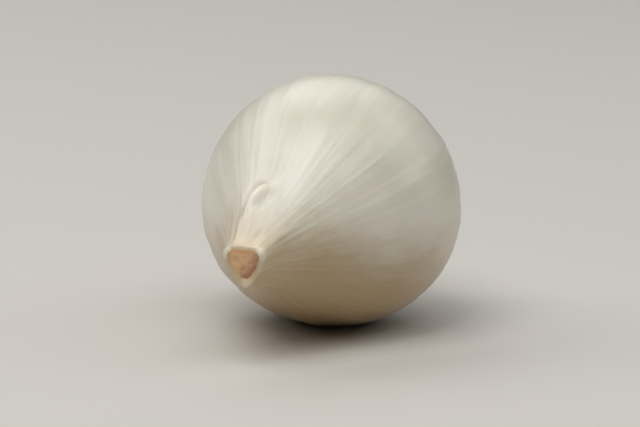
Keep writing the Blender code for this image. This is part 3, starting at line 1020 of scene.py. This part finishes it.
def root_shape(number, place):
    """Angle, radius and height of the foot, splay, length, girth and tone of a stub."""
    middle_girth, girth_swing, girth_step = ROOT_GIRTHS
    middle_tone, tone_rise, tone_bend, tone_swing, tone_step = ROOT_TONES
    spread = math.sqrt((number + 0.5) / ROOT_COUNT)
    angle = number * GOLDEN_ANGLE + place.uniform(-ROOT_JITTER, ROOT_JITTER)
    foot_radius = (ROOT_FIRST + ROOT_REACH * spread) * PLATE_BRIM / 2
    foot_height = -PLATE_RISE * (ROOT_FOOT[0] - ROOT_FOOT[1] * spread**3)
    splay = ROOT_SPLAY * spread**ROOT_SPLAY_GROWTH + place.uniform(-ROOT_JITTER, ROOT_JITTER)
    length = ROOT_SUNK + place.uniform(ROOT_SHORTEST, ROOT_LONGEST) + ROOT_RIM_EXTRA * spread**2
    girth = ROOT_RADIUS * (middle_girth + girth_swing * math.sin(girth_step * number))
    tone = middle_tone + tone_rise * spread**tone_bend + tone_swing * math.sin(tone_step * number)
    return angle, foot_radius, foot_height, splay, length, girth, tone


def hair_shape(number, place):
    """The same for a hair."""
    spread = math.sqrt((number + 0.5) / HAIR_COUNT)
    angle = number * GOLDEN_ANGLE + HAIR_TURN
    foot_radius = (HAIR_FIRST + HAIR_REACH * spread) * PLATE_BRIM / 2
    foot_height = -PLATE_RISE * (HAIR_FOOT[0] - HAIR_FOOT[1] * spread**3)
    splay = ROOT_SPLAY * HAIR_SPLAY * spread**ROOT_SPLAY_GROWTH + place.uniform(*HAIR_SPLAY_RANGE)
    length = ROOT_SUNK + place.uniform(*HAIR_LENGTHS)
    girth = ROOT_RADIUS * place.uniform(*HAIR_GIRTHS)
    tone = place.uniform(*HAIR_TONES) * spread
    return angle, foot_radius, foot_height, splay, length, girth, tone


def join_as(name, pieces):
    """One object of many, with the given name."""
    bpy.ops.object.select_all(action="DESELECT")
    for piece in pieces:
        piece.select_set(True)
    bpy.context.view_layer.objects.active = pieces[0]
    bpy.ops.object.join()
    joined = bpy.context.object
    joined.name = name
    return joined


def make_roots():
    model = model_root()
    place = random.Random(ROOT_SEED)
    stubs = []
    for number in range(ROOT_COUNT):
        stubs.append(copy_root(model, number, root_shape(number, place), random.Random(number)))
    for number in range(HAIR_COUNT):
        bends = random.Random(HAIR_SEED + number)
        stubs.append(copy_root(model, number, hair_shape(number, place), bends))
    bpy.data.objects.remove(model, do_unlink=True)
    roots = join_as("trimmed_roots", stubs)
    roots.data.shade_smooth()
    return roots


roots = make_roots()
roots.data.materials.append(dry_root())
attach(roots, "root")


# The old skin round the root plate, dead and tan: all that is left there of an outer layer that tore off. It
# is a thin ragged rim that lies on the skin below it, all the way round.
COLLAR_COLUMNS = 300
COLLAR_ROWS = 16
COLLAR_PLACES = (0.001, 0.030)
# Its torn edge, as (length of a wave, height, seed).
COLLAR_RAGGED = [(0.55, 0.009, 61), (0.17, 0.006, 62), (0.06, 0.003, 65)]
COLLAR_ROUGHNESS = 0.50
COLLAR_PALE = (0.78, 0.70, 0.54)
COLLAR_CLOUDY = (0.70, 0.58, 0.38)
COLLAR_EDGE = (0.60, 0.45, 0.26)


def root_collar_outline(across, up):
    """Once round the bulb, from the root plate up to its torn edge."""
    angle = -math.pi + 2.0 * math.pi * across
    bottom, top = COLLAR_PLACES
    top = top + lumps(round_line(1.0, angle, 0.0), COLLAR_RAGGED)
    return angle, bottom + (top - bottom) * up


root_collar = skin_sheet("root_collar", COLLAR_COLUMNS, COLLAR_ROWS, root_collar_outline, all_round=True)
root_collar.data.materials.append(
    white_skin("root end skin", SHEET_SUBSURFACE, COLLAR_ROUGHNESS, COLLAR_PALE, COLLAR_CLOUDY, COLLAR_EDGE)
)
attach(root_collar, "root")


# The floor: a plain pale board, wide enough to fill the view, with faint clouds in its tone. It is a stage
# only, and the bulb lies loose on it at height 0.
FLOOR_WIDTH = 6.0
FLOOR_ROUGHNESS = 0.65
FLOOR_CLOUDS = (3.0, 2.0)  # size and detail of a noise
FLOOR_TONES = ((0.60, 0.575, 0.540), (0.63, 0.605, 0.570))


def pale_floor():
    material, tree, shader = new_material("pale floor", FLOOR_ROUGHNESS)
    colour = blend(tree, noise_on(tree, object_place(tree), *FLOOR_CLOUDS), *FLOOR_TONES)
    tree.links.new(colour, shader.inputs["Base Color"])
    return material


bpy.ops.object.select_all(action="DESELECT")
bpy.ops.mesh.primitive_plane_add(size=FLOOR_WIDTH)
floor = bpy.context.object
floor.name = "floor"
floor.data.materials.append(pale_floor())


# The camera, at the photograph's angle: a little above the bulb, with the neck turned towards it. It has a
# long lens and stands well back, so that perspective hardly changes the round shape.
VIEW_AZIMUTH = math.radians(-69.4)
VIEW_ELEVATION = math.radians(13.0)
VIEW_DISTANCE = 0.36
VIEW_LENS = 200.0
VIEW_MIDDLE = Vector((-0.0030, 0.0, 0.0120))


def direction(azimuth, elevation):
    """A unit vector towards a viewer at an azimuth from the front and an elevation."""
    level = math.cos(elevation)
    return Vector((math.sin(azimuth) * level, -math.cos(azimuth) * level, math.sin(elevation)))


def aim(obj, place, target):
    obj.location = place
    obj.rotation_euler = (target - place).to_track_quat("-Z", "Y").to_euler()


camera = bpy.data.objects.new("camera", bpy.data.cameras.new("camera"))
bpy.context.scene.collection.objects.link(camera)
camera.data.lens = VIEW_LENS
aim(camera, VIEW_MIDDLE + VIEW_DISTANCE * direction(VIEW_AZIMUTH, VIEW_ELEVATION), VIEW_MIDDLE)
bpy.context.scene.camera = camera
bpy.context.scene.view_settings.view_transform = "Standard"


# The studio light: a broad box overhead at the left, a tall window-like one beside it, and fills all round.
# Each is (name, degrees round from the camera, degrees up, distance, (width, height), watts, colour).
WARM = (1.0, 0.99, 0.97)
NEUTRAL = (1.0, 1.0, 1.0)
COOL = (0.97, 0.985, 1.0)
LIGHTS = [
    ("key", -40.0, 66.0, 0.60, (0.35, 0.35), 1.75, WARM),
    ("window", -103.0, 37.0, 0.60, (0.16, 0.42), 0.68, WARM),
    ("overhead", 35.0, 64.0, 0.60, (0.40, 0.40), 0.95, WARM),
    ("right_fill", 95.0, 40.0, 0.60, (0.40, 0.40), 0.62, COOL),
    ("back_fill", 180.0, 45.0, 0.60, (0.40, 0.40), 0.42, NEUTRAL),
    ("left_fill", -140.0, 50.0, 0.60, (0.40, 0.40), 0.60, NEUTRAL),
]
WORLD_COLOUR = (0.95, 0.96, 1.0, 1.0)
WORLD_STRENGTH = 0.03

for name, turned, raised, distance, (width, height), power, colour in LIGHTS:
    lamp = bpy.data.objects.new(name, bpy.data.lights.new(name, "AREA"))
    bpy.context.scene.collection.objects.link(lamp)
    lamp.data.shape = "RECTANGLE"
    lamp.data.size = width
    lamp.data.size_y = height
    lamp.data.energy = power
    lamp.data.color = colour
    toward = direction(VIEW_AZIMUTH + math.radians(turned), math.radians(raised))
    aim(lamp, VIEW_MIDDLE + distance * toward, VIEW_MIDDLE)

world = bpy.data.worlds.new("studio")
bpy.context.scene.world = world
world.use_nodes = True
world.node_tree.nodes["Background"].inputs["Color"].default_value = WORLD_COLOUR
world.node_tree.nodes["Background"].inputs["Strength"].default_value = WORLD_STRENGTH
